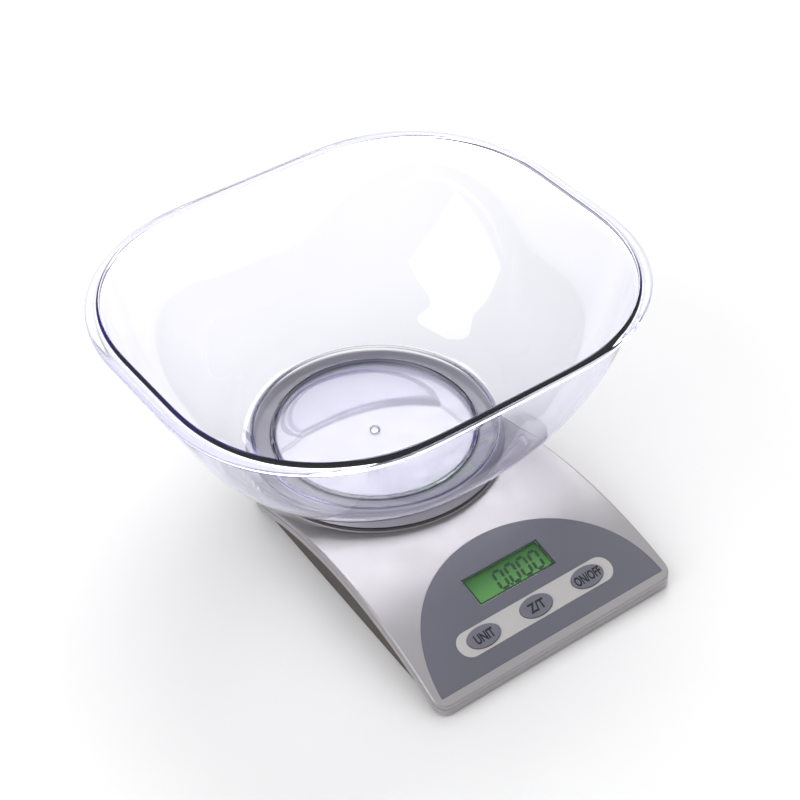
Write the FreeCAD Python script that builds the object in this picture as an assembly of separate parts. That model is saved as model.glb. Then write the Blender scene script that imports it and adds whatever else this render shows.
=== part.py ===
import FreeCAD, Part
import math
import os

# Digital kitchen scale with a clear bowl that lifts off a round weighing platform.
# Units are millimetres, +Z is up, the display faces the front (-Y), and the origin
# is on the table under the middle of the whole object.

V = FreeCAD.Vector
X = V(1, 0, 0)
Z = V(0, 0, 1)

# Plan of the base: a straight front, sides that taper a little, and a round rear
# (the drum) that is concentric with the platform.
PAN_Y = 21.85
FRONT_Y = PAN_Y - 158.9
FRONT_HALF_WIDTH = 75.8
CORNER_R = 7.0
DRUM_R = 68.6

# The cover is an arch along Y. Its skirt is a band of constant height.
ARCH_Y = PAN_Y - 69.9
ARCH_TOP = 27.2
ARCH_HALF_LENGTH = 88.9
ARCH_SAG = 19.5
ARCH_R = (ARCH_HALF_LENGTH ** 2 + ARCH_SAG ** 2) / (2 * ARCH_SAG)
ARCH_AXIS_Z = ARCH_TOP - ARCH_R
SKIRT_HEIGHT = 6.4
SKIRT_BOTTOM = 1.4
COVER_T = 2.0
EDGE_R = 1.2
CREASE_DROP = 2.2
CREASE_SIZE = 0.45

# Round collar on the drum, flared under the platform, with a sunk deck inside it.
COLLAR_R = 71.0
COLLAR_TOP = 28.4
COLLAR_EDGE = 1.0
FLARE_BOTTOM = 24.5
DECK_TOP = 26.2
DECK_BOTTOM = 24.2

# Control panel: everything in it is square to one flat frame, which touches the
# arch at the middle of the display.
LCD_Y = PAN_Y - 116.5
PANEL_TILT = -math.asin((LCD_Y - ARCH_Y) / ARCH_R)
PANEL_Y = PAN_Y - 160.0
PANEL_FRONT = PAN_Y - 154.6
PANEL_HALF_X = 71.4
PANEL_HALF_Y = 69.8
FILM_T = 0.35
LENS = (48.6, 17.0, 1.5)
LENS_LEDGE = 0.8
KEY_Y = PAN_Y - 138.8
KEY_PITCH = 33.4
KEY_SIZE = (19.6, 11.4)
KEY_PROUD = 0.9
KEY_GAP = 0.2
KEY_TRAVEL = 0.5
STRIP_SIZE = (98.0, 14.0)

# Circuit board, in the panel's flat frame.
BOARD_TOP = -8.0
BOARD_T = 1.6
BOARD_HALF_X = 52.0
BOARD_FRONT = -31.0
BOARD_REAR = 17.0
BOARD_SCREWS = [(-47.5, -27.0), (47.5, -27.0), (-47.5, 12.5), (47.5, 12.5)]

# Lower housing.
HOUSING_INSET = 3.9
WALL_T = 2.0
FLOOR_BOTTOM = 1.4
FLOOR_TOP = 3.4
FIT_GAP = 0.1
HOUSING_SCREWS = [(62.0, PAN_Y - 120.0), (58.0, PAN_Y - 62.0), (20.0, PAN_Y + 55.0)]
FEET = [(62.0, PAN_Y - 143.0), (40.0, PAN_Y + 39.0)]
FOOT_R = 6.0
FOOT_H = 2.2

# Load cell: an aluminium bar along Y, fixed at the front end.
CELL_HALF_LENGTH = 40.0
CELL_SIDE = 12.7
CELL_BOTTOM = 5.4
CELL_TOP = CELL_BOTTOM + CELL_SIDE
CELL_HOLES = [-36.0, -24.0, 24.0, 36.0]
SCREW_R = 2.0

# Platform: a pan with a raised ring and a flared rim.
RECESS_Z = 33.8
RECESS_R = 56.2
RING_TOP = 35.9
RING_R = 67.0
RING_FALL = 0.8
PLATFORM_RIM_R = 70.6
PLATFORM_RIM_Z = 31.0
PLATFORM_T = 1.8
CARRIER_R = 50.0
CARRIER_BOTTOM = 27.4
CARRIER_TOP = 30.1
PEG_CIRCLE_R = 38.0

# Battery bay, to the right of the load cell.
BAY_X = 33.0
BAY_HALF_X = 14.0
BAY_HALF_Y = 29.0
BAY_TOP = 21.6
BAY_WALL = 1.5
DOOR_GAP = 0.2
DOOR_T = 1.6

# Bowl: its outer wall as (height, half width in X, half width in Y, corner radius).
WALL = 1.8
BOWL_SECTIONS = [
    (36.4, 56.4, 56.4, 56.4),
    (38.4, 67.5, 67.2, 67.0),
    (42.0, 76.2, 74.2, 73.5),
    (48.0, 83.4, 79.6, 77.0),
    (54.0, 89.8, 84.4, 78.5),
    (64.0, 99.2, 91.4, 79.5),
    (74.0, 107.0, 97.4, 79.0),
    (89.0, 115.4, 103.5, 78.0),
    (104.0, 121.6, 108.0, 77.5),
    (119.0, 126.8, 111.8, 77.0),
    (133.6, 129.8, 114.0, 76.2),
]
BOWL_FLOOR_TOP = 35.4
BOWL_FLOOR_R = 54.0
BOWL_FOOT_R = 55.6
RIM = (136.7, 128.9, 112.9, 75.0)
LIP_TOP = (134.2, 136.6, 115.4, 76.0)
LIP_BOTTOM_Z = 132.3
LIP_RISE = 1.7
CORNER_POWER = 9.0


def arch_z(y):
    """Height of the cover's top surface at y."""
    return ARCH_AXIS_Z + math.sqrt(ARCH_R ** 2 - (y - ARCH_Y) ** 2)


def arch(offset, drop=0.0):
    """Solid cylinder along X whose top is the arch, offset outward and lowered by drop."""
    start = V(-200, ARCH_Y, ARCH_AXIS_Z - drop)
    return Part.makeCylinder(ARCH_R + offset, 400, start, X)


def arch_layer(low, high):
    """Shell between two offsets from the arch surface."""
    return arch(high).cut(arch(low))


def box(x0, x1, y0, y1, z0, z1):
    return Part.makeBox(x1 - x0, y1 - y0, z1 - z0, V(x0, y0, z0))


def rod(radius, x, y, z0, z1):
    return Part.makeCylinder(radius, z1 - z0, V(x, y, z0), Z)


def ring(outer, inner, x, y, z0, z1):
    return rod(outer, x, y, z0, z1).cut(rod(inner, x, y, z0 - 1, z1 + 1))


def fuse(shapes):
    return shapes[0].multiFuse(shapes[1:]).removeSplitter()


def group(shapes):
    return Part.makeCompound(shapes)


def mirrored(points):
    """Each point and its mirror image across the plane x = 0."""
    return [(side * x, y) for x, y in points for side in (-1, 1)]


def round_edges(shape, z):
    """The shape's full-circle edges at height z."""
    return [e for e in shape.Edges if len(e.Vertexes) == 1 and abs(e.CenterOfMass.z - z) < 0.05]


def plan(inset, z0, z1):
    """Prism on the base's plan, set in by inset all round."""
    radius = DRUM_R - inset
    # Each side is the line through the front corner that touches the drum.
    depth = PAN_Y - FRONT_Y
    reach = math.hypot(FRONT_HALF_WIDTH, depth)
    tilt = math.atan2(FRONT_HALF_WIDTH, depth) - math.asin(DRUM_R / reach)
    normal = V(math.cos(tilt), math.sin(tilt), 0)
    corner = max(CORNER_R - inset, 1.0)
    corner_y = FRONT_Y + inset + corner
    corner_x = (radius - corner - normal.y * (corner_y - PAN_Y)) / normal.x
    centre = V(corner_x, corner_y, 0)
    front = V(corner_x, FRONT_Y + inset, 0)
    middle = centre + (normal + V(0, -1, 0)).normalize() * corner
    side = centre + normal * corner
    tangent = V(0, PAN_Y, 0) + normal * radius
    right = [front, middle, side, tangent]
    left = [V(-p.x, p.y, 0) for p in right]
    edges = [
        Part.makeLine(left[0], right[0]),
        Part.Arc(right[0], right[1], right[2]).toShape(),
        Part.makeLine(right[2], right[3]),
        Part.Arc(right[3], V(0, PAN_Y + radius, 0), left[3]).toShape(),
        Part.makeLine(left[3], left[2]),
        Part.Arc(left[2], left[1], left[0]).toShape(),
    ]
    face = Part.Face(Part.Wire(edges))
    face.translate(V(0, 0, z0))
    return face.extrude(V(0, 0, z1 - z0))


def to_panel(shape):
    """Moves a shape from the panel's flat frame onto the cover."""
    placed = shape.copy()
    placed.rotate(V(0, 0, 0), X, math.degrees(PANEL_TILT))
    placed.translate(V(0, LCD_Y, arch_z(LCD_Y)))
    return placed


def key_centre():
    """Key row's position along the panel, and the arch's height there, in the flat frame."""
    dy = KEY_Y - LCD_Y
    dz = arch_z(KEY_Y) - arch_z(LCD_Y)
    along = dy * math.cos(PANEL_TILT) + dz * math.sin(PANEL_TILT)
    height = dz * math.cos(PANEL_TILT) - dy * math.sin(PANEL_TILT)
    return along, height


KEY_U, KEY_N = key_centre()
KEY_X = {"unit": -KEY_PITCH, "zero": 0.0, "power": KEY_PITCH}


def oval(size, grow, x, y, n0, n1):
    """Elliptical prism in the flat frame."""
    ellipse = Part.Ellipse(V(x, y, n0), size[0] / 2 + grow, size[1] / 2 + grow)
    return Part.Face(Part.Wire(ellipse.toShape())).extrude(V(0, 0, n1 - n0))


def pill(size, grow, y, n0, n1):
    """Prism with round ends in the flat frame."""
    radius = size[1] / 2 + grow
    half = size[0] / 2 - size[1] / 2
    body = box(-half, half, y - radius, y + radius, n0, n1)
    return fuse([body, rod(radius, -half, y, n0, n1), rod(radius, half, y, n0, n1)])


def slab(size, grow, n0, n1):
    """Rectangular prism centred on the display in the flat frame."""
    a, b = size[0] / 2 + grow, size[1] / 2 + grow
    return box(-a, a, -b, b, n0, n1)


def half_oval(grow):
    """The control panel's outline: an upright oval cut off by a straight front."""
    centre = V(0, PANEL_Y, 0)
    ellipse = Part.Ellipse(centre, PANEL_HALF_X + grow, PANEL_HALF_Y + grow)
    prism = Part.Face(Part.Wire(ellipse.toShape())).extrude(V(0, 0, 60))
    return prism.common(box(-100, 100, PANEL_FRONT - grow, PANEL_Y + 100, 0, 60))


def top_cover():
    """Silver cover: arched shell, skirt, collar with a sunk deck, and screw posts."""
    body = plan(0, 0, 60).common(arch(0))
    rim = [
        e for e in body.Edges
        if all(abs(math.hypot(v.Y - ARCH_Y, v.Z - ARCH_AXIS_Z) - ARCH_R) < 0.01 for v in e.Vertexes)
        and e.CenterOfMass.y < PAN_Y
    ]
    body = body.makeFillet(EDGE_R, rim)
    edge_z = COLLAR_TOP - COLLAR_EDGE
    drum = rod(DRUM_R, 0, PAN_Y, 0, FLARE_BOTTOM)
    flare = Part.makeCone(DRUM_R, COLLAR_R, edge_z - FLARE_BOTTOM, V(0, PAN_Y, FLARE_BOTTOM), Z)
    collar = rod(COLLAR_R, 0, PAN_Y, edge_z, COLLAR_TOP)
    collar = collar.makeFillet(0.45, round_edges(collar, COLLAR_TOP))
    sunk = rod(COLLAR_R - COVER_T, 0, PAN_Y, DECK_TOP, 60)
    outer = body.fuse([drum, flare, collar]).cut(sunk)
    hollow = plan(COVER_T, -1, 60).common(arch(-COVER_T))
    inner = hollow.fuse(rod(DRUM_R - COVER_T, 0, PAN_Y, -1, DECK_BOTTOM))
    below = fuse([arch(0, SKIRT_HEIGHT), box(-100, 100, -300, 300, -300, SKIRT_BOTTOM)])
    crease = arch(0, CREASE_DROP).cut(arch(0, CREASE_DROP + CREASE_SIZE))
    crease = crease.common(plan(-1, 0, 60)).cut(plan(CREASE_SIZE, -1, 61))
    shell = outer.cut(inner).cut(below).cut(crease)

    posts = []
    for x, y in mirrored(HOUSING_SCREWS):
        posts.append(rod(3.4, x, y, 6.5, 60))
    for x, y in BOARD_SCREWS:
        posts.append(to_panel(rod(3.0, x, y, BOARD_TOP, 10)))
    posts = group(posts).common(inner)
    cover = shell.fuse(posts)

    cuts = [box(-11, 11, PAN_Y + 14, PAN_Y + 44, 20, 40)]
    cuts.append(half_oval(0).common(arch_layer(-FILM_T, 5)))
    cuts.append(to_panel(slab(LENS, 0.1, -LENS[2], 5)))
    cuts.append(to_panel(slab(LENS, -LENS_LEDGE, -5, 5)))
    for x in KEY_X.values():
        cuts.append(to_panel(oval(KEY_SIZE, KEY_GAP, x, KEY_U, -6, 5)))
    for x, y in mirrored(HOUSING_SCREWS):
        cuts.append(rod(1.45, x, y, 0, 10.6))
    for x, y in BOARD_SCREWS:
        cuts.append(to_panel(rod(1.2, x, y, BOARD_TOP - 1, BOARD_TOP + 4.6)))
    for cutter in cuts:
        cover = cover.cut(cutter)
    return cover


def panel_overlay():
    """Dark film let into the cover, open at the display and at the key strip."""
    film = half_oval(-0.15).common(arch_layer(-FILM_T, 0))
    film = film.cut(to_panel(slab(LENS, 0.1, -5, 5)))
    return film.cut(to_panel(pill(STRIP_SIZE, 0.1, KEY_U, -6, 5)))


def button_strip():
    """Pale surround of the three keys."""
    strip = to_panel(pill(STRIP_SIZE, 0, KEY_U, -6, 5)).common(arch_layer(-FILM_T, 0.15))
    for x in KEY_X.values():
        strip = strip.cut(to_panel(oval(KEY_SIZE, KEY_GAP, x, KEY_U, -6, 5)))
    return strip


def key(x):
    """Key cap: an oval stem whose top follows the arch, and a flange that keeps it in."""
    stem = oval(KEY_SIZE, 0, x, KEY_U, KEY_N - 3.0, KEY_N + 5)
    stem = to_panel(stem).common(arch(KEY_PROUD))
    top = [e for e in stem.Edges if e.CenterOfMass.z > arch_z(KEY_Y) - 1]
    stem = stem.makeFillet(0.45, top)
    flange = oval(KEY_SIZE, 1.3, x, KEY_U, KEY_N - 3.9, KEY_N - 3.0)
    return stem.fuse(to_panel(flange)).removeSplitter()


PLUNGER_R = 1.7
PLUNGER_TOP = KEY_N - 3.9


def plunger(x):
    """Actuator of a push switch, which slides in the switch body."""
    return to_panel(rod(PLUNGER_R, x, KEY_U, BOARD_TOP + 0.9, PLUNGER_TOP))


def switch_bodies():
    bodies = []
    for x in KEY_X.values():
        low, high = BOARD_TOP, PLUNGER_TOP - KEY_TRAVEL - 0.2
        body = box(x - 3, x + 3, KEY_U - 3, KEY_U + 3, low, high)
        bore = rod(PLUNGER_R + 0.06, x, KEY_U, BOARD_TOP + 0.3, high + 1)
        bodies.append(to_panel(body.cut(bore)))
    return group(bodies)


def lcd_window():
    """Clear lens, flush with the film."""
    return to_panel(slab(LENS, 0, -LENS[2], 5)).common(arch(0))


def lcd_glass():
    return to_panel(box(-26.5, 26.5, -10.5, 10.5, -5.4, -3.4))


def lcd_backlight():
    return to_panel(box(-25.5, 25.5, -8.0, 10.0, BOARD_TOP, -5.5))


def lcd_connector():
    """Striped rubber bar that joins the glass to the board."""
    return to_panel(box(-25.0, 25.0, -10.3, -8.3, BOARD_TOP, -5.4))


def lcd_bezel():
    frame = box(-28, 28, -12, 12, BOARD_TOP, -2.7)
    frame = frame.cut(box(-26.6, 26.6, -10.6, 10.6, BOARD_TOP - 1, -3.4))
    return to_panel(frame.cut(slab(LENS, -0.3, -5, 0)))


def circuit_board():
    board = box(-BOARD_HALF_X, BOARD_HALF_X, BOARD_FRONT, BOARD_REAR, BOARD_TOP - BOARD_T, BOARD_TOP)
    corners = [e for e in board.Edges if e.Length < BOARD_T + 0.01]
    board = board.makeFillet(1.5, corners)
    for x, y in BOARD_SCREWS:
        board = board.cut(rod(1.3, x, y, BOARD_TOP - 5, 0))
    return to_panel(board)


def controller_chip():
    """Resin blob over the controller, on the underside of the board."""
    low = BOARD_TOP - BOARD_T
    blob = Part.makeCone(7.0, 5.0, 1.3, V(-20, 5, low), V(0, 0, -1))
    return to_panel(blob.makeFillet(0.8, round_edges(blob, low - 1.3)))


def screw(x, y, head_r, head_z0, head_z1, shank_r, shank_end, drive_up):
    """Pan-head screw on a vertical axis with a cross recess in its head."""
    head = rod(head_r, x, y, head_z0, head_z1)
    face = head_z1 if drive_up else head_z0
    seat = head_z0 if drive_up else head_z1
    head = head.makeFillet(min(0.6, (head_z1 - head_z0) * 0.4), round_edges(head, face))
    shank = rod(shank_r, x, y, min(seat, shank_end), max(seat, shank_end))
    depth = (head_z1 - head_z0) * 0.55
    low, high = (face - depth, face + 1) if drive_up else (face - 1, face + depth)
    wide, thin = head_r * 0.62, head_r * 0.14
    cross = fuse([
        box(x - wide, x + wide, y - thin, y + thin, low, high),
        box(x - thin, x + thin, y - wide, y + wide, low, high),
    ])
    return head.fuse(shank).cut(cross).removeSplitter()


def board_screws():
    low = BOARD_TOP - BOARD_T
    return group([
        to_panel(screw(x, y, 2.6, low - 1.5, low, 1.2, BOARD_TOP + 4.0, False))
        for x, y in BOARD_SCREWS
    ])


def housing_screws():
    return group([
        screw(x, y, 2.8, 2.0, 4.0, 1.45, 10.2, False)
        for x, y in mirrored(HOUSING_SCREWS)
    ])


def rubber_feet():
    feet = []
    for x, y in mirrored(FEET):
        foot = rod(FOOT_R, x, y, 0, FOOT_H)
        feet.append(foot.makeFillet(0.5, round_edges(foot, 0)))
    return group(feet)


def bay_box(grow, z0, z1):
    return box(
        BAY_X - BAY_HALF_X - grow, BAY_X + BAY_HALF_X + grow,
        PAN_Y - BAY_HALF_Y - grow, PAN_Y + BAY_HALF_Y + grow, z0, z1,
    )


def lower_housing():
    """Dark tray: floor, walls up to the cover, battery bay, screw tubes and cell seat."""
    inset = HOUSING_INSET
    tray = plan(inset, FLOOR_BOTTOM, 60).cut(plan(inset + WALL_T, FLOOR_TOP, 61))
    room = plan(COVER_T, 0, 60).common(arch(-COVER_T - FIT_GAP))
    room = room.fuse(rod(DRUM_R - COVER_T, 0, PAN_Y, 0, DECK_BOTTOM - FIT_GAP))
    tray = tray.common(room)
    collar = ring(DRUM_R + 0.3, DRUM_R - COVER_T - 0.2, 0, PAN_Y, 0, 60)
    collar = collar.cut(arch(0, SKIRT_HEIGHT + 0.2)).cut(box(-100, 100, -300, 300, -300, FLOOR_BOTTOM))
    tray = tray.cut(collar)

    parts = [tray, bay_box(BAY_WALL, FLOOR_BOTTOM, BAY_TOP + 1.2)]
    for x, y in mirrored(HOUSING_SCREWS):
        parts.append(rod(4.6, x, y, FLOOR_BOTTOM, 6.4))
    parts.append(box(-8, 8, PAN_Y - 43, PAN_Y - 17, FLOOR_BOTTOM, CELL_BOTTOM))
    parts.append(rod(5, 0, PAN_Y + 32, FLOOR_BOTTOM, 4.4))
    tray = fuse(parts)

    cuts = [bay_box(0, 0, BAY_TOP)]
    for x, y in mirrored(HOUSING_SCREWS):
        cuts.append(rod(3.1, x, y, 0, 4.0))
        cuts.append(rod(1.6, x, y, 0, 10))
    for x, y in mirrored(FEET):
        cuts.append(rod(FOOT_R, x, y, 0, FOOT_H))
    for y in CELL_HOLES[:2]:
        cuts.append(rod(4.2, 0, PAN_Y + y, 0, 3.7))
        cuts.append(rod(SCREW_R, 0, PAN_Y + y, 0, 10))
    cuts.append(rod(SCREW_R, 0, PAN_Y + 32, 0, 10))
    y_end = PAN_Y - BAY_HALF_Y
    for x in (BAY_X - 8, BAY_X + 8):
        cuts.append(box(x - 3, x + 3, y_end - 4, y_end + 1, FLOOR_TOP, 6.6))
    cuts.append(box(BAY_X - 5, BAY_X + 5, PAN_Y + BAY_HALF_Y - 1, PAN_Y + BAY_HALF_Y + 3, 9, 15))
    for cutter in cuts:
        tray = tray.cut(cutter)
    return tray


def battery_door():
    """Flat door with two hook tabs at its hinge end and a finger notch at the other."""
    y0 = PAN_Y - BAY_HALF_Y + DOOR_GAP
    y1 = PAN_Y + BAY_HALF_Y - DOOR_GAP
    x0 = BAY_X - BAY_HALF_X + DOOR_GAP
    x1 = BAY_X + BAY_HALF_X - DOOR_GAP
    top = FLOOR_BOTTOM + DOOR_T
    pieces = [box(x0, x1, y0, y1, FLOOR_BOTTOM, top)]
    for x in (BAY_X - 8, BAY_X + 8):
        pieces.append(box(x - 2.6, x + 2.6, y0, y0 + 1.4, top, 4.8))
        pieces.append(box(x - 2.6, x + 2.6, y0 - 2.6, y0 + 1.4, 3.6, 4.8))
    door = fuse(pieces)
    notch = Part.makeCylinder(5.0, 20, V(BAY_X - 10, y1 - 5, FLOOR_BOTTOM - 4.2), X)
    return door.cut(notch)


BATTERY = (26.2, 48.0, 17.2)
BATTERY_Y0 = PAN_Y - 24.6
BATTERY_Z0 = 3.3
TERMINALS = [(-6.35, 3.6), (6.35, 2.7)]


def battery():
    """Block battery with two snap terminals on its rear end."""
    w, length, h = BATTERY
    body = box(BAY_X - w / 2, BAY_X + w / 2, BATTERY_Y0, BATTERY_Y0 + length, BATTERY_Z0, BATTERY_Z0 + h)
    body = body.makeFillet(2.0, [e for e in body.Edges if abs(e.Vertexes[0].Y - e.Vertexes[1].Y) > 10])
    middle = BATTERY_Z0 + h / 2
    for dx, radius in TERMINALS:
        start = V(BAY_X + dx, BATTERY_Y0 + length, middle)
        body = body.fuse(Part.makeCylinder(radius, 2.4, start, V(0, 1, 0)))
    return body


def battery_snap():
    """Connector plate with a socket over each terminal."""
    y = BATTERY_Y0 + BATTERY[1]
    middle = BATTERY_Z0 + BATTERY[2] / 2
    plate = box(BAY_X - 12.5, BAY_X + 12.5, y + 2.5, y + 4.2, middle - 6.2, middle + 6.2)
    for dx, radius in TERMINALS:
        start = V(BAY_X + dx, y + 0.3, middle)
        cup = Part.makeCylinder(radius + 1.0, 2.3, start, V(0, 1, 0))
        bore = Part.makeCylinder(radius + 0.05, 2.2, start - V(0, 0.1, 0), V(0, 1, 0))
        plate = plate.fuse(cup).cut(bore)
    return plate


def wire(points, radius=0.6):
    """Round lead along a smooth curve."""
    curve = Part.BSplineCurve()
    curve.interpolate([V(*p) for p in points])
    edge = curve.toShape()
    start = edge.valueAt(edge.FirstParameter)
    tangent = edge.tangentAt(edge.FirstParameter)
    profile = Part.Wire(Part.makeCircle(radius, start, tangent))
    return Part.Wire(edge).makePipeShell([profile], True, True)


def board_underside(x, u):
    """Point on the underside of the board, in the object's frame."""
    n = BOARD_TOP - BOARD_T - 0.6
    c, s = math.cos(PANEL_TILT), math.sin(PANEL_TILT)
    return (x, LCD_Y + u * c - n * s, arch_z(LCD_Y) + u * s + n * c)


def battery_leads():
    """Two leads from the snap connector, round the bay and forward to the board."""
    leads = []
    y = BATTERY_Y0 + BATTERY[1] + 4.2
    for i in range(2):
        step = 1.6 * i
        leads.append(wire([
            (BAY_X - 1 + 2 * i, y, 11.0 + step),
            (BAY_X + 1 + 2 * i, y + 5.0, 11.0 + step),
            (BAY_X + 12, y + 6.5 - step / 2, 10.5 + step),
            (52.5 + step, PAN_Y + 22, 9.5 + step),
            (53.0 + step, PAN_Y, 9.0),
            (52.0 + step, PAN_Y - 40, 8.5),
            (44.0 + step, PAN_Y - 80, 9.5),
            board_underside(40.0 + 2 * step, 8.0),
        ]))
    return group(leads)


def load_cell():
    """Aluminium bending beam with the usual double bore, and four screw holes."""
    half, side = CELL_HALF_LENGTH, CELL_SIDE / 2
    bar = box(-side, side, PAN_Y - half, PAN_Y + half, CELL_BOTTOM, CELL_TOP)
    bar = bar.makeFillet(0.5, [e for e in bar.Edges if e.Length > 2 * half - 1])
    middle = CELL_BOTTOM + side
    for y in (-6.0, 6.0):
        bar = bar.cut(Part.makeCylinder(4.6, 20, V(-10, PAN_Y + y, middle), X))
    bar = bar.cut(box(-10, 10, PAN_Y - 6, PAN_Y + 6, middle - 2.2, middle + 2.2))
    for y in CELL_HOLES:
        radius = SCREW_R if y < 0 else SCREW_R + 0.05
        bar = bar.cut(rod(radius, 0, PAN_Y + y, 0, 30))
    return bar


def gauge_coating():
    """Pale sealant over the strain gauges, above and below the thin sections."""
    pads = []
    for z in (CELL_TOP, CELL_BOTTOM - 1.0):
        pad = box(-5.6, 5.6, PAN_Y - 10, PAN_Y + 10, z, z + 1.0)
        pads.append(pad.makeFillet(0.4, [e for e in pad.Edges if e.Length < 1.1]))
    return group(pads)


def load_cell_screws():
    return group([
        screw(0, PAN_Y + y, 3.8, 1.7, 3.7, SCREW_R, 14.0, False)
        for y in CELL_HOLES[:2]
    ])


def load_cell_leads():
    """Four thin leads from the strain gauges to the board."""
    leads = []
    for i in range(4):
        x = -4.5 + 3.0 * i
        leads.append(wire([
            (x, PAN_Y - 10.0, CELL_TOP + 0.5),
            (x * 1.3, PAN_Y - 22.0, CELL_TOP + 1.6),
            (x * 1.3, PAN_Y - 38.0, CELL_TOP + 1.2),
            (x, PAN_Y - 52.0, 14.0),
            (x * 0.9, PAN_Y - 72.0, 10.0),
            (x * 0.9, PAN_Y - 90.0, 10.5),
            board_underside(x, 10.0),
        ], 0.45))
    return group(leads)


def overload_screw():
    """Set screw that stops the free end of the load cell from bending too far."""
    stop = rod(SCREW_R, 0, PAN_Y + 32, 1.6, CELL_BOTTOM - 0.7)
    slot = box(-3, 3, PAN_Y + 31.7, PAN_Y + 32.3, 0, 2.4)
    return stop.cut(slot)


def peg_points():
    angles = [math.radians(45 + 90 * i) for i in range(4)]
    return [(PEG_CIRCLE_R * math.cos(a), PAN_Y + PEG_CIRCLE_R * math.sin(a)) for a in angles]


def platform():
    """Weighing platform: recess, gently coned ring and flared rim, with four pegs below."""
    t = PLATFORM_T
    ring_edge = RING_TOP - RING_FALL
    outline = [
        (0, RECESS_Z), (RECESS_R, RECESS_Z), (RECESS_R + 0.6, RING_TOP), (RING_R, ring_edge),
        (PLATFORM_RIM_R, PLATFORM_RIM_Z), (PLATFORM_RIM_R - 2.2, PLATFORM_RIM_Z),
        (RING_R - 1.2, ring_edge - t), (RECESS_R + 2.4, RING_TOP - t),
        (RECESS_R + 1.9, RECESS_Z - t), (0, RECESS_Z - t),
    ]
    points = [V(r, 0, z) for r, z in outline]
    face = Part.Face(Part.makePolygon(points + [points[0]]))
    pan = face.revolve(V(0, 0, 0), Z, 360)
    soft = {(RECESS_R + 0.6, RING_TOP): 0.5, (RING_R, ring_edge): 0.9, (RECESS_R, RECESS_Z): 0.6}
    for (radius, height), size in soft.items():
        edges = [
            e for e in pan.Edges
            if abs(e.BoundBox.ZMax - height) < 0.01 and abs(e.BoundBox.ZMin - height) < 0.01
            and abs(e.BoundBox.XMax - radius) < 0.01
        ]
        pan = pan.makeFillet(size, edges)
    pan.translate(V(0, PAN_Y, 0))
    pegs = [rod(2.5, x, y, 27.8, RECESS_Z - t) for x, y in peg_points()]
    return fuse([pan] + pegs)


def platform_carrier():
    """Spider on the load cell's free end: a ribbed disc with a hub through the deck."""
    disc = rod(CARRIER_R, 0, PAN_Y, CARRIER_BOTTOM, CARRIER_TOP)
    hub = box(-8, 8, PAN_Y + 18, PAN_Y + 40, CELL_TOP, CARRIER_BOTTOM)
    carrier = fuse([disc, hub])
    for angle in (0, 90, 180, 270):
        a = math.radians(angle)
        x, y = 32 * math.cos(a), PAN_Y + 32 * math.sin(a)
        if angle != 90:
            carrier = carrier.cut(rod(11, x, y, 20, 40))
    for x, y in peg_points():
        carrier = carrier.cut(rod(4.5, x, y, 20, 40))
    for y in CELL_HOLES[2:]:
        carrier = carrier.cut(rod(3.9, 0, PAN_Y + y, CARRIER_TOP - 2.2, 40))
        carrier = carrier.cut(rod(SCREW_R, 0, PAN_Y + y, 10, 40))
    return carrier


def carrier_screws():
    seat = CARRIER_TOP - 2.2
    return group([
        screw(0, PAN_Y + y, 3.7, seat, CARRIER_TOP - 0.1, SCREW_R, 10.0, True)
        for y in CELL_HOLES[2:]
    ])


def carrier_grommets():
    """Rubber bushes between the carrier and the platform's pegs."""
    bushes = []
    for x, y in peg_points():
        sleeve = rod(4.5, x, y, CARRIER_BOTTOM, RECESS_Z - PLATFORM_T)
        flange = rod(6.0, x, y, CARRIER_TOP, RECESS_Z - PLATFORM_T)
        bushes.append(fuse([sleeve, flange]).cut(rod(2.5, x, y, 20, 40)))
    return group(bushes)


def outline_points(z, half_x, half_y, corner, rise, count=10):
    """Rounded rectangle with gently bowed sides, as points spread evenly along it.

    The outline is a superellipse core pushed outward by the corner radius. With a
    core of zero size it is a circle. The sides of a core turn through little angle,
    so there the steps in angle are made smaller near the middle of each side. The
    outline climbs by rise from the middle of the sides in X to the front and rear.
    """
    a, b = half_x - corner, half_y - corner
    power = CORNER_POWER / (CORNER_POWER - 1)
    points = []
    for i in range(4 * count):
        quarter, t = divmod(i / count, 1.0)
        blend = t ** 3 / (t ** 3 + (1 - t) ** 3)
        even = 1.0 - min(1.0, (a + b) / 20.0)
        angle = math.pi / 2 * (quarter + blend * (1 - even) + t * even)
        c, s = math.cos(angle), math.sin(angle)
        x, y = corner * c, corner * s
        spread = abs(a * c) ** power + abs(b * s) ** power
        if spread > 1e-6:
            x += math.copysign(a * (abs(a * c) ** power / spread) ** (1 / CORNER_POWER), c)
            y += math.copysign(b * (abs(b * s) ** power / spread) ** (1 / CORNER_POWER), s)
        points.append(V(x, PAN_Y + y, z + rise * (y / half_y) ** 4))
    return points


def outline_wire(z, half_x, half_y, corner, rise=0.0):
    curve = Part.BSplineCurve()
    curve.interpolate(outline_points(z, half_x, half_y, corner, rise), PeriodicFlag=True)
    return Part.Wire(curve.toShape())


def inner_sections():
    """The outer sections moved inward by the wall's thickness, square to the wall."""
    inner = []
    last = len(BOWL_SECTIONS) - 1
    for i, (z, half_x, half_y, corner) in enumerate(BOWL_SECTIONS):
        before = BOWL_SECTIONS[max(i - 1, 0)]
        after = BOWL_SECTIONS[min(i + 1, last)]
        rise = after[0] - before[0]
        run = ((after[1] - before[1]) + (after[2] - before[2])) / 2
        length = math.hypot(rise, run)
        inward = WALL * rise / length
        upward = WALL * run / length
        inner.append((z + upward, half_x - inward, half_y - inward, corner - inward))
    inner[-1] = RIM
    return inner


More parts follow.
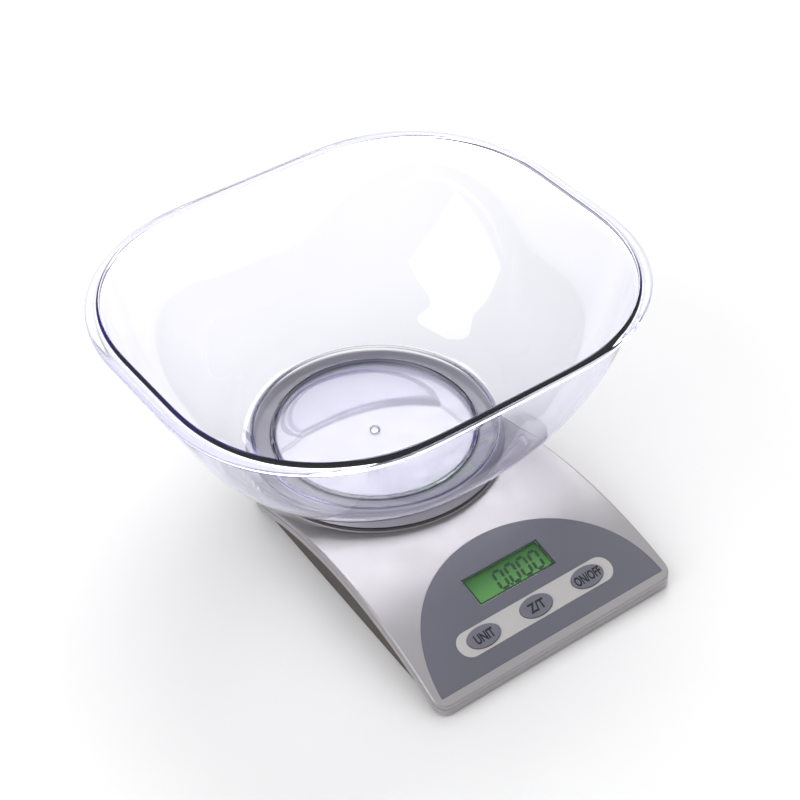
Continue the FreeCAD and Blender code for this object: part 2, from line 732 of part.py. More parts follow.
def bowl():
    """Clear bowl: round foot, wall that grows to a rounded rectangle, sloping lip."""
    body = Part.makeLoft([outline_wire(*section) for section in BOWL_SECTIONS], True, False)
    inside = inner_sections()
    above = (RIM[0] + 3, RIM[1] + 0.6, RIM[2] + 0.6, RIM[3])
    cavity = Part.makeLoft([outline_wire(*section) for section in inside + [above]], True, False)

    edge_bottom = outline_wire(LIP_BOTTOM_Z, *LIP_TOP[1:])
    edge_top = outline_wire(*LIP_TOP, rise=LIP_RISE)
    lip = Part.makeLoft([edge_bottom, edge_top, outline_wire(*RIM)], True, True)
    root = outline_wire(BOWL_SECTIONS[-1][0] - 0.6, *BOWL_SECTIONS[-1][1:])
    under = Part.makeLoft([edge_bottom, root], True, True)
    lip = lip.cut(under)

    foot = rod(BOWL_FOOT_R, 0, PAN_Y, RECESS_Z, BOWL_SECTIONS[0][0] + 1.5)
    foot = foot.makeFillet(0.8, round_edges(foot, RECESS_Z))
    well = rod(BOWL_FLOOR_R, 0, PAN_Y, BOWL_FLOOR_TOP, inside[0][0] + 0.5)
    shell = body.fuse([lip, foot]).cut(cavity).cut(well)
    nub = Part.makeSphere(2.4, V(0, PAN_Y, BOWL_FLOOR_TOP - 1.0))
    nub = nub.common(rod(5, 0, PAN_Y, BOWL_FLOOR_TOP - 0.5, BOWL_FLOOR_TOP + 5))
    return shell.fuse(nub)


NODES = {
    "top_cover": top_cover,
    "panel_overlay": panel_overlay,
    "button_strip": button_strip,
    "unit_button": lambda: key(KEY_X["unit"]),
    "zero_button": lambda: key(KEY_X["zero"]),
    "power_button": lambda: key(KEY_X["power"]),
    "unit_plunger": lambda: plunger(KEY_X["unit"]),
    "zero_plunger": lambda: plunger(KEY_X["zero"]),
    "power_plunger": lambda: plunger(KEY_X["power"]),
    "switch_bodies": switch_bodies,
    "lcd_window": lcd_window,
    "lcd_bezel": lcd_bezel,
    "lcd_glass": lcd_glass,
    "lcd_backlight": lcd_backlight,
    "lcd_connector": lcd_connector,
    "circuit_board": circuit_board,
    "controller_chip": controller_chip,
    "board_screws": board_screws,
    "lower_housing": lower_housing,
    "housing_screws": housing_screws,
    "rubber_feet": rubber_feet,
    "battery_door": battery_door,
    "battery": battery,
    "battery_snap": battery_snap,
    "battery_leads": battery_leads,
    "load_cell": load_cell,
    "gauge_coating": gauge_coating,
    "load_cell_screws": load_cell_screws,
    "load_cell_leads": load_cell_leads,
    "overload_screw": overload_screw,
    "platform_carrier": platform_carrier,
    "carrier_screws": carrier_screws,
    "carrier_grommets": carrier_grommets,
    "platform": platform,
    "bowl": bowl,
}

os.makedirs("parts", exist_ok=True)
for node, make in NODES.items():
    make().exportStep("parts/" + node + ".step")
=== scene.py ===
import math

import bpy
import numpy as np
from mathutils import Matrix, Vector


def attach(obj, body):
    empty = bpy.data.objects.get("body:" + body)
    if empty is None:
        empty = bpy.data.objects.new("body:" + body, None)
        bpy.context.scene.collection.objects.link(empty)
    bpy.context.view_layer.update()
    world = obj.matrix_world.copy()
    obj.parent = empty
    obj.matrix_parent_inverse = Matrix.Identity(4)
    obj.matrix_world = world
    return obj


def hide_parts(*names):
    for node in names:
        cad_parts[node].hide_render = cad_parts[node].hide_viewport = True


# Kitchen scale with a clear bowl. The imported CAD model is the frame; this script
# gives its nodes their finishes, and adds the bowl's polished skin, the display's
# digits, the line round its window and the printed words on the keys.

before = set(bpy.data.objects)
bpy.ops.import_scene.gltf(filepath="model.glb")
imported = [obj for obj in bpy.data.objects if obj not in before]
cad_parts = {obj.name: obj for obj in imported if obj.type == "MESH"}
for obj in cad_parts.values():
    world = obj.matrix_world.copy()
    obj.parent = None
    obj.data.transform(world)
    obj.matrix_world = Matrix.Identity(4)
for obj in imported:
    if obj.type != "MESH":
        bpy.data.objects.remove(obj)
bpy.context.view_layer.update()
MM = 0.001

# Places that the pieces below are built on, in millimetres.
PAN_Y = 21.85
ARCH_Y = PAN_Y - 69.9
ARCH_TOP = 27.2
ARCH_HALF_LENGTH = 88.9
ARCH_SAG = 19.5
ARCH_R = (ARCH_HALF_LENGTH ** 2 + ARCH_SAG ** 2) / (2 * ARCH_SAG)
LCD_Y = PAN_Y - 116.5
KEY_Y = PAN_Y - 138.8
KEY_PITCH = 33.4
KEY_PROUD = 0.9
PRINT_LIFT = 0.03  # of a print above the face that it lies on


def arch_z(y, offset=0.0):
    """Height of the arched cover at y, or of a surface that far above it."""
    return ARCH_TOP - ARCH_R + math.sqrt((ARCH_R + offset) ** 2 - (y - ARCH_Y) ** 2)


# Slope of the arched cover at the display.
PANEL_TILT = -math.asin((LCD_Y - ARCH_Y) / ARCH_R)


# ---------------------------------------------------------------- materials

def new_material(name):
    material = bpy.data.materials.new(name)
    material.use_nodes = True
    tree = material.node_tree
    shader = tree.nodes["Principled BSDF"]
    return material, tree, shader


def texture_place(tree, scale=(1, 1, 1)):
    """Object-space coordinates in metres, scaled."""
    coordinates = tree.nodes.new("ShaderNodeTexCoord")
    mapping = tree.nodes.new("ShaderNodeMapping")
    mapping.inputs["Scale"].default_value = scale
    tree.links.new(coordinates.outputs["Object"], mapping.inputs["Vector"])
    return mapping.outputs["Vector"]


def noise(tree, place, scale, detail=2.0):
    texture = tree.nodes.new("ShaderNodeTexNoise")
    texture.inputs["Scale"].default_value = scale
    texture.inputs["Detail"].default_value = detail
    tree.links.new(place, texture.inputs["Vector"])
    return texture.outputs["Fac"]


def ramp(tree, value, low, high):
    """Maps a 0..1 value onto two colours or two grey levels."""
    node = tree.nodes.new("ShaderNodeValToRGB")
    node.color_ramp.elements[0].position = 0.3
    node.color_ramp.elements[1].position = 0.7
    node.color_ramp.elements[0].color = (*low, 1.0)
    node.color_ramp.elements[1].color = (*high, 1.0)
    tree.links.new(value, node.inputs["Fac"])
    return node.outputs["Color"]


def bump(tree, shader, value, distance, strength):
    node = tree.nodes.new("ShaderNodeBump")
    node.inputs["Distance"].default_value = distance
    node.inputs["Strength"].default_value = strength
    tree.links.new(value, node.inputs["Height"])
    tree.links.new(node.outputs["Normal"], shader.inputs["Normal"])


def shade(colour, factor):
    return tuple(min(1.0, c * factor) for c in colour)


def grey(level):
    return (level, level, level)


def moulded(name, colour, roughness, metallic=0.0, vary=0.04, grain=2500.0, depth=0.00002, coat=0.0):
    """Moulded or painted surface: slight colour drift, uneven gloss and fine grain."""
    material, tree, shader = new_material(name)
    place = texture_place(tree)
    drift = noise(tree, place, 18.0)
    fine = noise(tree, place, grain, 3.0)
    tint = ramp(tree, drift, shade(colour, 1 - vary), shade(colour, 1 + vary))
    tree.links.new(tint, shader.inputs["Base Color"])
    rough = ramp(tree, noise(tree, place, 90.0), grey(roughness * 0.92), grey(roughness * 1.08))
    tree.links.new(rough, shader.inputs["Roughness"])
    shader.inputs["Metallic"].default_value = metallic
    shader.inputs["Coat Weight"].default_value = coat
    shader.inputs["Coat Roughness"].default_value = 0.15
    bump(tree, shader, fine, depth, 0.35)
    return material


def recessed(name, ring, recess, level, roughness, metallic):
    """Painted platform: one colour above a level in metres, and a paler one below it, which is a
    painted reflection of the light overhead.
    """
    material = moulded(name, ring, roughness, metallic=metallic, vary=0.012, grain=3800.0)
    tree = material.node_tree
    shader = tree.nodes["Principled BSDF"]
    painted = shader.inputs["Base Color"].links[0].from_socket
    split = tree.nodes.new("ShaderNodeSeparateXYZ")
    tree.links.new(texture_place(tree), split.inputs["Vector"])
    below = tree.nodes.new("ShaderNodeMath")
    below.operation = "LESS_THAN"
    below.inputs[1].default_value = level
    tree.links.new(split.outputs["Z"], below.inputs[0])
    # Below the level: the paler colour, a painted reflection of the light overhead.
    mix = tree.nodes.new("ShaderNodeMix")
    mix.data_type = "RGBA"
    mix.inputs["B"].default_value = (*recess, 1.0)
    tree.links.new(below.outputs[0], mix.inputs["Factor"])
    tree.links.new(painted, mix.inputs["A"])
    tree.links.new(mix.outputs["Result"], shader.inputs["Base Color"])
    return material


def brushed(name, colour, roughness, direction):
    """Metal with fine lines along one axis."""
    material, tree, shader = new_material(name)
    place = texture_place(tree, direction)
    lines = noise(tree, place, 1.0, 4.0)
    tint = ramp(tree, lines, shade(colour, 0.86), shade(colour, 1.08))
    tree.links.new(tint, shader.inputs["Base Color"])
    rough = ramp(tree, lines, grey(roughness * 0.8), grey(roughness * 1.25))
    tree.links.new(rough, shader.inputs["Roughness"])
    shader.inputs["Metallic"].default_value = 1.0
    bump(tree, shader, lines, 0.00003, 0.3)
    return material


def clear(name, colour, roughness, ior=1.49, absorb=None, density=0.0):
    """Clear moulded plastic, which can take on a tint in its depth."""
    material, tree, shader = new_material(name)
    place = texture_place(tree)
    drift = noise(tree, place, 9.0)
    tree.links.new(ramp(tree, drift, shade(colour, 0.992), colour), shader.inputs["Base Color"])
    shader.inputs["Transmission Weight"].default_value = 1.0
    shader.inputs["IOR"].default_value = ior
    shader.inputs["Roughness"].default_value = roughness
    bump(tree, shader, drift, 0.0004, 0.04)
    if absorb:
        depth = tree.nodes.new("ShaderNodeVolumeAbsorption")
        depth.inputs["Color"].default_value = (*absorb, 1.0)
        depth.inputs["Density"].default_value = density
        tree.links.new(depth.outputs["Volume"], tree.nodes["Material Output"].inputs["Volume"])
    return material


def display(name, deep, bright):
    """Lit green field of the display, brighter towards its lower edge."""
    material, tree, shader = new_material(name)
    coordinates = tree.nodes.new("ShaderNodeTexCoord")
    split = tree.nodes.new("ShaderNodeSeparateXYZ")
    tree.links.new(coordinates.outputs["Generated"], split.inputs["Vector"])
    colour = ramp(tree, split.outputs["Y"], bright, deep)
    tree.links.new(colour, shader.inputs["Base Color"])
    tree.links.new(colour, shader.inputs["Emission Color"])
    shader.inputs["Emission Strength"].default_value = 0.25
    shader.inputs["Roughness"].default_value = 0.3
    return material


def striped(name, first, second, scale):
    """Two colours in fine bands along X, at a scale of the wave texture."""
    material, tree, shader = new_material(name)
    wave = tree.nodes.new("ShaderNodeTexWave")
    wave.inputs["Scale"].default_value = scale
    tree.links.new(texture_place(tree), wave.inputs["Vector"])
    tree.links.new(ramp(tree, wave.outputs["Fac"], first, second), shader.inputs["Base Color"])
    shader.inputs["Roughness"].default_value = 0.55
    return material


CLEAR = clear(
    "clear_plastic_skin", (0.988, 0.988, 0.998), 0.0, absorb=(0.42, 0.40, 0.93), density=42.0,
)
FINISHES = {
    "top_cover": moulded(
        "silver_paint", (0.405, 0.39, 0.405), 0.32,
        metallic=0.45, vary=0.012, grain=3800.0, depth=0.000004,
    ),
    # The paler colour below the level is a painted reflection of the light overhead.
    "platform": recessed(
        "platform_paint_and_painted_reflection", ring=(0.25, 0.245, 0.285), recess=(0.46, 0.45, 0.51),
        level=0.0352, roughness=0.40, metallic=0.35,
    ),
    "panel_overlay": moulded("panel_film", (0.145, 0.146, 0.186), 0.38, vary=0.03, grain=5200.0),
    "button_strip": moulded("strip_pale", (0.56, 0.545, 0.535), 0.42, vary=0.02),
    "key": moulded("key_cap", (0.17, 0.17, 0.215), 0.40, vary=0.03),
    "lower_housing": moulded("housing_dark", (0.075, 0.062, 0.052), 0.5, vary=0.08, depth=0.00005),
    "battery_door": moulded("door_dark", (0.07, 0.058, 0.050), 0.52, vary=0.08, depth=0.00005),
    "switch": moulded("switch_black", (0.02, 0.02, 0.02), 0.45),
    "lcd_window": clear("window_clear", (0.93, 0.985, 0.93), 0.02, ior=1.25),
    "lcd_bezel": moulded("bezel_black", (0.02, 0.022, 0.02), 0.5),
    "lcd_glass": display("lcd_field", (0.050, 0.20, 0.042), (0.105, 0.33, 0.075)),
    "lcd_backlight": moulded("backlight_milky", (0.62, 0.8, 0.6), 0.6),
    "lcd_connector": striped("connector_stripes", (0.55, 0.25, 0.3), (0.04, 0.03, 0.03), 1250.0),
    "circuit_board": moulded("board_green", (0.02, 0.13, 0.05), 0.3, vary=0.15, coat=0.5),
    "controller_chip": moulded("chip_resin", (0.015, 0.015, 0.016), 0.35, vary=0.1),
    "screws": brushed("screw_zinc", (0.62, 0.61, 0.58), 0.3, (900, 900, 80)),
    "rubber_feet": moulded("foot_rubber", (0.03, 0.03, 0.032), 0.75, vary=0.12, depth=0.00008),
    "carrier_grommets": moulded("grommet_rubber", (0.035, 0.035, 0.035), 0.7, vary=0.12, depth=0.00008),
    "battery": moulded("battery_jacket", (0.06, 0.065, 0.08), 0.3, vary=0.1, coat=0.4),
    "battery_snap": moulded("snap_black", (0.02, 0.02, 0.02), 0.55),
    "battery_leads": moulded("lead_red", (0.42, 0.02, 0.02), 0.42, vary=0.08),
    "load_cell_leads": moulded("lead_white", (0.62, 0.6, 0.56), 0.45, vary=0.08),
    "load_cell": brushed("cell_aluminium", (0.74, 0.75, 0.76), 0.34, (900, 60, 900)),
    "gauge_coating": moulded("gauge_sealant", (0.78, 0.78, 0.74), 0.5, vary=0.08, depth=0.0001),
    "platform_carrier": moulded("carrier_grey", (0.10, 0.10, 0.105), 0.5, vary=0.06),
    "bowl": CLEAR,
}
SHARED = {
    "unit_button": "key", "zero_button": "key", "power_button": "key",
    "unit_plunger": "switch", "zero_plunger": "switch", "power_plunger": "switch",
    "switch_bodies": "switch", "board_screws": "screws", "housing_screws": "screws",
    "load_cell_screws": "screws", "carrier_screws": "screws", "overload_screw": "screws",
}


def dress_nodes():
    """Gives every CAD node its own finish, or the finish that it shares."""
    for name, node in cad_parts.items():
        material = FINISHES[SHARED.get(name, name)]
        node.data.materials.clear()
        node.data.materials.append(material)


# ---------------------------------------------------------------- mesh helpers

def mesh_object(name, points, faces, material, smooth=True):
    mesh = bpy.data.meshes.new(name)
    mesh.from_pydata([tuple(p) for p in points], [], faces)
    mesh.update()
    if smooth:
        mesh.polygons.foreach_set("use_smooth", [True] * len(mesh.polygons))
    obj = bpy.data.objects.new(name, mesh)
    obj.data.materials.append(material)
    bpy.context.scene.collection.objects.link(obj)
    return obj


# ---------------------------------------------------------------- bowl

WALL = 1.8  # thickness

# Sections of the wall's outside, as (height, half width in X, half width in Y, corner radius).
OUTER = [
    (36.4, 56.4, 56.4, 56.4), (38.4, 67.5, 67.2, 67.0), (42.0, 76.2, 74.2, 73.5),
    (48.0, 83.4, 79.6, 77.0), (54.0, 89.8, 84.4, 78.5), (64.0, 99.2, 91.4, 79.5),
    (74.0, 107.0, 97.4, 79.0), (89.0, 115.4, 103.5, 78.0), (104.0, 121.6, 108.0, 77.5),
    (119.0, 126.8, 111.8, 77.0),
]
# The last of them: under the lip for the outside, and just below the crest for the
# curve that the inside is set off from.
WALL_TOP_OUTSIDE = (132.6, 129.6, 113.88, 76.2)
WALL_TOP_INSIDE = (135.6, 130.45, 114.45, 76.5)

# The lip slopes from the rim, at the crest, down to its outer edge.
RIM = (136.7, 128.9, 112.9, 75.0)
LIP = (134.2, 136.6, 115.4, 76.0)
LIP_RISE = 1.7
LIP_BOTTOM_Z = 132.3
LIP_ROOT = (133.1, 129.7, 113.95, 76.2)
CREST = [(136.72, 129.25, 113.2, 75.2), (136.6, 128.85, 112.82, 75.0), (136.3, 128.7, 112.7, 75.0)]
CREST_BOTTOM_Z = 135.4

# Round foot, the well that the floor lies in, and the small nub in the floor's middle.
FOOT_Z = 34.0
FOOT_TOP_Z = 36.0
FOOT_R = 55.6
UNDERSIDE_RADII = (0.4, 12.0, 30.0, 46.0, 54.0)
EDGE_ROUND = 0.8
FLOOR_Z = 35.4
FLOOR_RADII = (40.0, 22.0, 9.0, 3.4, 2.7)
WELL_R = 54.0
WELL_SIDE = [(37.95, 55.2), (37.6, 54.4), (37.1, 54.05), (36.7, WELL_R)]
NUB_PROFILE = [(0.35, 2.35), (0.85, 1.9), (1.2, 1.3), (1.38, 0.7), (1.42, 0.25)]

STEPS_PER_SECTION = 4
STEPS_PER_EDGE = 5
CORNER_POWER = 9.0
MEASURED = 400  # points along each quarter of an outline, to measure its length by
AROUND = 240  # points spread evenly round it


def outline(z, half_x, half_y, corner, rise=0.0):
    """Points spread evenly round a rounded rectangle with bowed sides.

    It lies at height z at its sides in X, and climbs by rise to its front and rear.
    """
    a, b = half_x - corner, half_y - corner
    quarter = np.linspace(0, 1, MEASURED, endpoint=False)
    blend = quarter ** 3 / (quarter ** 3 + (1 - quarter) ** 3)
    angle = np.concatenate([math.pi / 2 * (k + blend) for k in range(4)])
    c, s = np.cos(angle), np.sin(angle)
    x, y = corner * c, corner * s
    if a + b > 0.01:
        power = CORNER_POWER / (CORNER_POWER - 1)
        spread = np.abs(a * c) ** power + np.abs(b * s) ** power
        x = x + np.sign(c) * a * (np.abs(a * c) ** power / spread) ** (1 / CORNER_POWER)
        y = y + np.sign(s) * b * (np.abs(b * s) ** power / spread) ** (1 / CORNER_POWER)
    x, y = np.append(x, x[0]), np.append(y, y[0])
    length = np.concatenate([[0], np.cumsum(np.hypot(np.diff(x), np.diff(y)))])
    even = np.linspace(0, length[-1], AROUND, endpoint=False)
    px, py = np.interp(even, length, x), np.interp(even, length, y)
    return np.stack([px, py + PAN_Y, z + rise * (py / half_y) ** 4], axis=1)


# Near its foot the wall keeps close to the sections; above, it is smoother, for clean reflections.
FOOT_WEIGHTS = (20.0, 8.0, 8.0, 4.0)
FOOT_DEGREE = 7
WALL_DEGREE = 5
BLEND_FROM = 44.0
BLEND_TO = 64.0


def smooth_sections(sections, steps):
    """One smooth curve through the sections, blended from a close foot to a smooth wall."""
    p = np.array(sections, float)
    low, high = p[0, 0], p[-1, 0]
    level = np.sqrt((p[:, 0] - low) / (high - low))
    wall_weight = np.ones(len(p))
    wall_weight[0] = wall_weight[-1] = FOOT_WEIGHTS[0]
    foot_weight = wall_weight.copy()
    foot_weight[:len(FOOT_WEIGHTS)] = FOOT_WEIGHTS
    wall = [np.polyfit(level, p[:, i], WALL_DEGREE, w=wall_weight) for i in (1, 2, 3)]
    foot = [np.polyfit(level, p[:, i], FOOT_DEGREE, w=foot_weight) for i in (1, 2, 3)]
    rows = []
    for t in np.linspace(0, 1, (len(p) - 1) * steps + 1):
        z = low + (high - low) * t * t
        part = min(max((z - BLEND_FROM) / (BLEND_TO - BLEND_FROM), 0.0), 1.0)
        part = part ** 3 * (part * (6 * part - 15) + 10)
        half_x, half_y, corner = (
            (1 - part) * np.polyval(near, t) + part * np.polyval(far, t)
            for near, far in zip(foot, wall)
        )
        rows.append((z, half_x, half_y, min(corner, half_x, half_y)))
    return rows


def offset_inward(sections):
    """The wall's inside: each section moved square to the wall by its thickness."""
    inner = []
    for i, (z, half_x, half_y, corner) in enumerate(sections):
        before, after = sections[max(i - 1, 0)], sections[min(i + 1, len(sections) - 1)]
        rise = after[0] - before[0]
        run = (after[1] - before[1] + after[2] - before[2]) / 2
        length = math.hypot(rise, run)
        inward, upward = WALL * rise / length, WALL * run / length
        inner.append((z + upward, half_x - inward, half_y - inward, corner - inward))
    return inner


def round_step(centre_z, centre_r, radius, start, end):
    """Rounded edge of a round part, as rings on an arc in degrees."""
    rings = []
    for k in range(STEPS_PER_EDGE):
        a = math.radians(start + (end - start) * k / (STEPS_PER_EDGE - 1))
        r = centre_r + radius * math.cos(a)
        rings.append((centre_z + radius * math.sin(a), r, r, r))
    return rings


def between(a, b, t, lift=0.0):
    """Ring that lies a share t of the way from ring a to ring b."""
    mixed = [u + (v - u) * t for u, v in zip(a, b)]
    mixed[0] += lift
    return tuple(mixed)


def bowl_rings():
    """Closed section of the bowl, from under the middle of the foot to the floor's middle."""
    under = [(FOOT_Z, r, r, r) for r in UNDERSIDE_RADII]
    foot = round_step(FOOT_Z + EDGE_ROUND, FOOT_R - EDGE_ROUND, EDGE_ROUND, -80, 0)
    foot.append((FOOT_TOP_Z, FOOT_R, FOOT_R, FOOT_R))
    outer = smooth_sections(OUTER + [WALL_TOP_OUTSIDE], STEPS_PER_SECTION)
    outer = [(*row, 0.0) for row in outer]
    bottom_edge = (LIP_BOTTOM_Z,) + LIP[1:] + (0.0,)
    root = LIP_ROOT + (0.0,)
    edge = LIP + (LIP_RISE,)
    crown = RIM + (0.0,)
    lip = [between(root, bottom_edge, t) for t in (0.12, 0.5, 0.9)]
    lip += [between(bottom_edge, edge, t) for t in (0.1, 0.5, 0.85)]
    lip += [between(edge, crown, t) for t in (0.08, 0.4, 0.75)]
    lip.append(between(edge, crown, 0.93, lift=0.02))
    inner = offset_inward(smooth_sections(OUTER + [WALL_TOP_INSIDE], STEPS_PER_SECTION))
    inner = [r for r in inner if r[0] < CREST_BOTTOM_Z][::-1]
    well = [(z, r, r, r) for z, r in WELL_SIDE]
    floor = round_step(FLOOR_Z + EDGE_ROUND, WELL_R - EDGE_ROUND, EDGE_ROUND, 0, -85)
    floor += [(FLOOR_Z, r, r, r) for r in FLOOR_RADII]
    nub = [(FLOOR_Z + h, r, r, r) for h, r in NUB_PROFILE]
    return under + foot + outer + lip + CREST + inner + well + floor + nub


def build_bowl():
    """Skin of the bowl: each ring of its section joined to the next by four-sided faces."""
    rings = bowl_rings()
    points = np.concatenate([outline(*ring) for ring in rings]) * MM
    faces = []
    for i in range(len(rings) - 1):
        low, high = i * AROUND, (i + 1) * AROUND
        for j in range(AROUND):
            k = (j + 1) % AROUND
            faces.append((low + j, low + k, high + k, high + j))
    faces.append(tuple(range(AROUND))[::-1])
    faces.append(tuple((len(rings) - 1) * AROUND + j for j in range(AROUND)))
    bowl = mesh_object("bowl_skin", points, faces, CLEAR)
    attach(bowl, "bowl")
    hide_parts("bowl")


# ---------------------------------------------------------------- display and key prints

def panel_matrix():
    """From the panel's flat frame, in metres, to the object's frame."""
    place = Matrix.Translation((0, LCD_Y * MM, arch_z(LCD_Y) * MM))
    return place @ Matrix.Rotation(PANEL_TILT, 4, "X")


def bar(x0, y0, x1, y1, width):
    """Six-sided bar of a display segment."""
    along = Vector((x1 - x0, y1 - y0)).normalized()
    side = Vector((-along.y, along.x)) * width / 2
    tip = along * width / 2
    a, b = Vector((x0, y0)), Vector((x1, y1))
    return [a, a + tip + side, b - tip + side, b, b - tip - side, a + tip - side]


# The reading, in millimetres from the middle of the panel's display.
SEGMENTS_OF_ZERO = "abcdef"
DIGITS = 4
DIGIT_LEFT = -7.6
DIGIT_BOTTOM = -5.4
DIGIT_PITCH = 7.6
DIGIT_SIZE = (4.8, 10.4)
SEGMENT_THICK = 1.7
DIGIT_LEAN = 0.10
DOT_GAP = 1.35
DOT_HALF = 0.7
DIGITS_DEPTH = -3.38  # from the cover's face


def digit(x, y, width, height, thick, lean):
    """Seven-segment digit as polygons, leaning to the right."""
    gap = thick * 0.12
    half = height / 2
    ends = {
        "a": (gap, height, width - gap, height), "d": (gap, 0, width - gap, 0),
        "b": (width, half + gap, width, height - gap), "c": (width, gap, width, half - gap),
        "f": (0, half + gap, 0, height - gap), "e": (0, gap, 0, half - gap),
    }
    polygons = []
    for name in SEGMENTS_OF_ZERO:
        polygon = bar(*ends[name], thick)
        polygons.append([(x + p.x + p.y * lean, y + p.y) for p in polygon])
    return polygons


def build_digits():
    """Reading of 0.000 on the display, as thin dark marks just above the glass."""
    polygons = []
    for i in range(DIGITS):
        x = DIGIT_LEFT + DIGIT_PITCH * i
        polygons += digit(x, DIGIT_BOTTOM, *DIGIT_SIZE, SEGMENT_THICK, DIGIT_LEAN)
    dot = DIGIT_LEFT + DIGIT_PITCH - DOT_GAP
    r = DOT_HALF
    corners = [(-r, -r), (r, -r), (r, r), (-r, r)]
    polygons.append([(dot + x, DIGIT_BOTTOM + y) for x, y in corners])
    points, faces = [], []
    for polygon in polygons:
        faces.append(tuple(range(len(points), len(points) + len(polygon))))
        points += [panel_matrix() @ Vector((x * MM, y * MM, DIGITS_DEPTH * MM)) for x, y in polygon]
    ink = moulded("segment_ink", (0.012, 0.06, 0.02), 0.4, vary=0.05)
    digits = mesh_object("display_digits", points, faces, ink, smooth=False)
    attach(digits, "base")


# Half width and half height of the window's border, outside and inside.
BORDER_OUTSIDE = (24.2, 8.4)
BORDER_INSIDE = (23.4, 7.6)
BORDER_ROW = 4.0  # a row between, so that the border follows the arch


def build_window_border():
    """Thin dark line round the display window, on the arched lens: painted shade, standing in for the
    shaded gap at the window's edge.
    """
    columns = [-BORDER_OUTSIDE[0], -BORDER_INSIDE[0], BORDER_INSIDE[0], BORDER_OUTSIDE[0]]
    above = [BORDER_ROW, BORDER_INSIDE[1], BORDER_OUTSIDE[1]]
    rows = [-row for row in reversed(above)] + [0.0] + above
    points = []
    for row in rows:
        y = LCD_Y + row * math.cos(PANEL_TILT)
        points += [(x * MM, y * MM, arch_z(y, PRINT_LIFT) * MM) for x in columns]
    faces = []
    for i in range(len(rows) - 1):
        for j in range(len(columns) - 1):
            in_window = j == 1 and 0 < i < len(rows) - 2
            if in_window:
                continue
            first = len(columns) * i + j
            faces.append((first, first + 1, first + 1 + len(columns), first + len(columns)))
    # Near-black colour painted here as the shade in the gap round the window.
    ink = moulded("window_gap_painted_shade", (0.008, 0.045, 0.012), 0.45, vary=0.05)
    border = mesh_object("window_border", points, faces, ink, smooth=False)
    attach(border, "base")


LETTER_HEIGHT = 4.9
FONT_PER_LETTER = 1.4  # size of the font over the height of a capital, roughly
LETTER_WEIGHT = 0.035
WORD_SHIFT = 0.8  # of a word to the front of its key's middle


def print_word(word, x, body, ink, squeeze):
    """Printed word on a key's top, lying on the key's arched face."""
    curve = bpy.data.curves.new("print_" + body, "FONT")
    curve.body = word
    curve.align_x = "CENTER"
    curve.align_y = "CENTER"
    curve.size = 1.0
    curve.offset = LETTER_WEIGHT
    curve.resolution_u = 6
    text = bpy.data.objects.new("print_" + body, curve)
    bpy.context.scene.collection.objects.link(text)
    depsgraph = bpy.context.evaluated_depsgraph_get()
    mesh = bpy.data.meshes.new_from_object(text.evaluated_get(depsgraph))
    bpy.data.objects.remove(text)
    for vertex in mesh.vertices:
        flat_x = vertex.co.x * LETTER_HEIGHT * squeeze * FONT_PER_LETTER
        flat_y = vertex.co.y * LETTER_HEIGHT * FONT_PER_LETTER
        y = KEY_Y - WORD_SHIFT + flat_y * math.cos(PANEL_TILT)
        vertex.co = ((x + flat_x) * MM, y * MM, (arch_z(y, KEY_PROUD) + PRINT_LIFT) * MM)
    mesh.materials.clear()
    mesh.materials.append(ink)
    printed = bpy.data.objects.new("print_" + body, mesh)
    bpy.context.scene.collection.objects.link(printed)
    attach(printed, body)


def build_prints():
    ink = moulded("key_ink", (0.010, 0.010, 0.014), 0.5, vary=0.05)
    print_word("UNIT", -KEY_PITCH, "unit_key", ink, squeeze=0.72)
    print_word("Z/T", 0.0, "zero_key", ink, squeeze=0.92)
    print_word("ON/OFF", KEY_PITCH, "power_key", ink, squeeze=0.66)


# ---------------------------------------------------------------- studio

# The sky's strength, its colour at the horizon and its colour higher up.
SKY_STRENGTH = 0.82
SKY_LOW = (0.10, 0.09, 0.11, 1)
SKY_HIGH = (1.0, 1.0, 1.0, 1)
SKY_HIGH_FROM = 0.75  # sine of the angle above the horizon
FLOOR_HALF = 6.0


def area_light(name, place, target, size, power, roll=0.0):
    """Rectangular softbox in watts and metres, aimed at a target and rolled in degrees."""
    data = bpy.data.lights.new(name, "AREA")
    data.shape = "RECTANGLE"
    data.size, data.size_y = size
    data.energy = power
    light = bpy.data.objects.new(name, data)
    light.location = place
    aim = (Vector(target) - Vector(place)).to_track_quat("-Z", "Y").to_matrix()
    light.rotation_euler = (aim @ Matrix.Rotation(math.radians(roll), 3, "Z")).to_euler()
    bpy.context.scene.collection.objects.link(light)


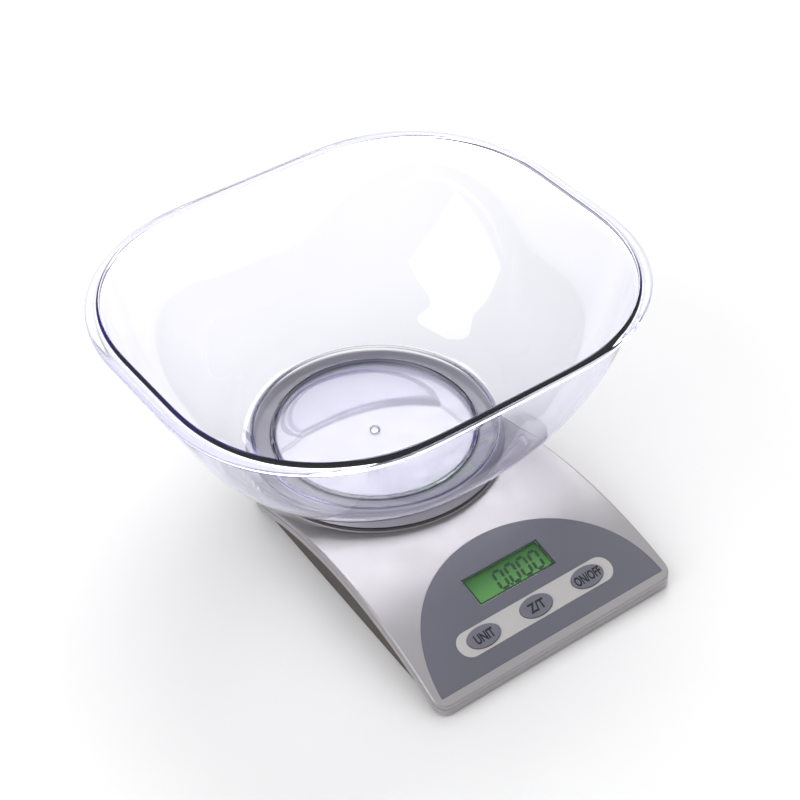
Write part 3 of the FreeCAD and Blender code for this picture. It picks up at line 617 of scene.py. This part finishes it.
def build_studio():
    """Pale floor, a sky that is dark at the horizon and white higher up, and two softboxes."""
    world = bpy.data.worlds.new("studio")
    bpy.context.scene.world = world
    world.use_nodes = True
    tree = world.node_tree
    background = tree.nodes["Background"]
    coordinates = tree.nodes.new("ShaderNodeTexCoord")
    split = tree.nodes.new("ShaderNodeSeparateXYZ")
    tree.links.new(coordinates.outputs["Generated"], split.inputs["Vector"])
    sky = tree.nodes.new("ShaderNodeValToRGB")
    sky.color_ramp.elements[0].position = 0.0
    sky.color_ramp.elements[0].color = SKY_LOW
    sky.color_ramp.elements[1].position = SKY_HIGH_FROM
    sky.color_ramp.elements[1].color = SKY_HIGH
    tree.links.new(split.outputs["Z"], sky.inputs["Fac"])
    tree.links.new(sky.outputs["Color"], background.inputs["Color"])
    background.inputs["Strength"].default_value = SKY_STRENGTH

    floor_material, tree, shader = new_material("studio_floor")
    place = texture_place(tree)
    pale = ramp(tree, noise(tree, place, 2.0), (0.90, 0.90, 0.90), (0.92, 0.92, 0.92))
    tree.links.new(pale, shader.inputs["Base Color"])
    shader.inputs["Roughness"].default_value = 0.8
    shader.inputs["Specular IOR Level"].default_value = 0.1
    h = FLOOR_HALF
    corners = [(-h, -h, 0), (h, -h, 0), (h, h, 0), (-h, h, 0)]
    floor = mesh_object("studio_floor", corners, [(0, 1, 2, 3)], floor_material, smooth=False)

    area_light(
        "rear_softbox", place=(1.0, 1.3, 1.65), target=(0, 0, 0.03),
        size=(1.55, 1.4), power=28.0,
    )
    area_light(
        "left_softbox", place=(-1.275, 0.007, 1.016), target=(0.09, 0.076, 0.068),
        size=(1.35, 1.28), power=10.0, roll=-17.0,
    )


# Where the camera stands, in metres, and how it is turned.
CAMERA_AZIMUTH = math.radians(-35.11)
CAMERA_ELEVATION = math.radians(41.56)
CAMERA_ROLL = math.radians(-1.44)
CAMERA_PLACE = (-0.4287, -0.6340 + PAN_Y * MM, 0.7343)
CAMERA_LENS = 86.25


def build_camera():
    """Camera a little over one metre away, to the front left and above."""
    azimuth, elevation, roll = CAMERA_AZIMUTH, CAMERA_ELEVATION, CAMERA_ROLL
    level = math.cos(elevation)
    back = Vector((math.sin(azimuth) * level, -math.cos(azimuth) * level, math.sin(elevation)))
    right = (-back).cross(Vector((0, 0, 1))).normalized()
    up = right.cross(-back)
    across = right * math.cos(roll) + up * math.sin(roll)
    upward = up * math.cos(roll) - right * math.sin(roll)
    data = bpy.data.cameras.new("camera")
    data.sensor_width = 36.0
    data.lens = CAMERA_LENS
    camera = bpy.data.objects.new("camera", data)
    turn = Matrix((across, upward, back)).transposed().to_4x4()
    camera.matrix_world = Matrix.Translation(CAMERA_PLACE) @ turn
    bpy.context.scene.collection.objects.link(camera)
    bpy.context.scene.camera = camera


dress_nodes()
build_bowl()
build_digits()
build_window_border()
build_prints()
build_studio()
build_camera()
bpy.context.scene.view_settings.view_transform = "Standard"

# Light is led a long way inside the bowl's wall, by many reflections.
cycles = bpy.context.scene.cycles
cycles.max_bounces = 24
cycles.transmission_bounces = 24
cycles.glossy_bounces = 16
